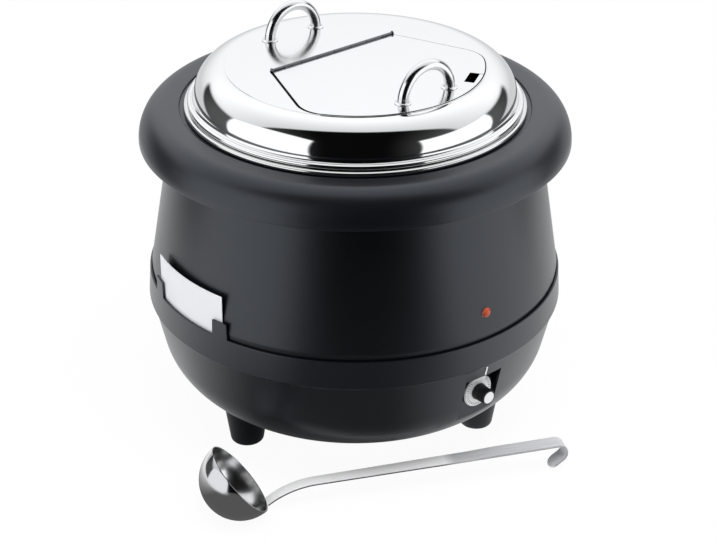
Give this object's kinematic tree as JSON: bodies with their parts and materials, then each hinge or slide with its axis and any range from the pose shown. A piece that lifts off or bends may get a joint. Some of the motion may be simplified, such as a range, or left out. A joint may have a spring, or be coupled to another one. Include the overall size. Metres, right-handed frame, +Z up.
{
  "type": "soup station",
  "caption": "Round electric soup kettle with an insert pot, a lid with a hinged serving hatch, a heat dial, a label card, and a hooked ladle beside it.",
  "frame": {"origin": "on the kettle's upright axis, on the plane that the feet stand on", "axes": "+Z up along the kettle's axis; -Y towards the dial; the label card is on the -X side"},
  "size_m": [0.4377, 0.4247, 0.3898],
  "materials": {
    "black_plastic": "fine-grained, semi-matte",
    "black_coat": "textured powder coat, semi-matte",
    "foot_black": "matt",
    "zinc": "zinc plated",
    "satin_steel": "brushed",
    "plate_aluminium": "plain",
    "element_sheath": "heat-darkened",
    "ivory_plastic": "plain",
    "wire_red": "insulation",
    "lamp_orange": "clear moulded",
    "mark_white": "printed",
    "polished_steel": "mirror polished stainless",
    "knob_black": "satin",
    "card_white": "coated card"
  },
  "bodies": {
    "kettle": {"collar_ring": "black_plastic", "upper_shell": "black_coat", "lower_shell": "black_plastic", "foot_left": "foot_black", "foot_front": "foot_black", "foot_rear": "foot_black", "foot_screws": "zinc", "foot_nuts": "zinc", "base_plate": "zinc", "base_screws": "zinc", "water_pan": "satin_steel", "heater_plate": "plate_aluminium", "heating_element": "element_sheath", "element_bracket": "zinc", "bracket_nut": "zinc", "thermostat": "ivory_plastic", "thermostat_nut": "zinc", "thermal_cutout": "foot_black", "terminal_block": "ivory_plastic", "wiring": "wire_red", "lamp_lens": "lamp_orange", "lamp_body": "ivory_plastic", "lamp_clip": "zinc", "pointer_mark": "mark_white", "cable_gland": "foot_black", "gland_nut": "foot_black"},
    "pot": {"insert_pot": "polished_steel"},
    "lid": {"lid_shell": "polished_steel", "hinge_pin": "satin_steel", "lid_handle": "polished_steel", "lid_handle_collars": "polished_steel", "lid_handle_nuts": "zinc"},
    "flap": {"flap_panel": "polished_steel", "flap_handle": "polished_steel", "flap_handle_collars": "polished_steel", "flap_handle_nuts": "zinc"},
    "dial": {"dial_skirt": "satin_steel", "knob": "knob_black", "knob_cap": "satin_steel", "thermostat_shaft": "zinc"},
    "card": {"label_card": "card_white"},
    "ladle": {"ladle_bowl": "polished_steel", "ladle_handle": "satin_steel"}
  },
  "joints": [
    {"name": "pot_lift", "type": "slide", "parent": "kettle", "child": "pot", "axis": [0, 0, 1], "range_m": [0, 0.3]},
    {"name": "lid_lift", "type": "slide", "parent": "pot", "child": "lid", "axis": [0, 0, 1], "range_m": [0, 0.25]},
    {"name": "flap_hinge", "type": "hinge", "parent": "lid", "child": "flap", "pos_m": [-0.00138, 0.03157, 0.358], "axis": [-0.999, -0.0436, 0], "range_deg": [0, 135]},
    {"name": "dial_turn", "type": "hinge", "parent": "kettle", "child": "dial", "pos_m": [0, -0.1819, 0.0985], "axis": [0, 1, 0], "range_deg": [0, 280]},
    {"name": "card_slide", "type": "slide", "parent": "kettle", "child": "card", "axis": [0, 0, 1], "range_m": [0, 0.06]},
    {"name": "ladle_pick", "type": "slide", "parent": "kettle", "child": "ladle", "axis": [-0.282, -0.6485, 0.7071], "range_m": [0, 0.25]}
  ]
}
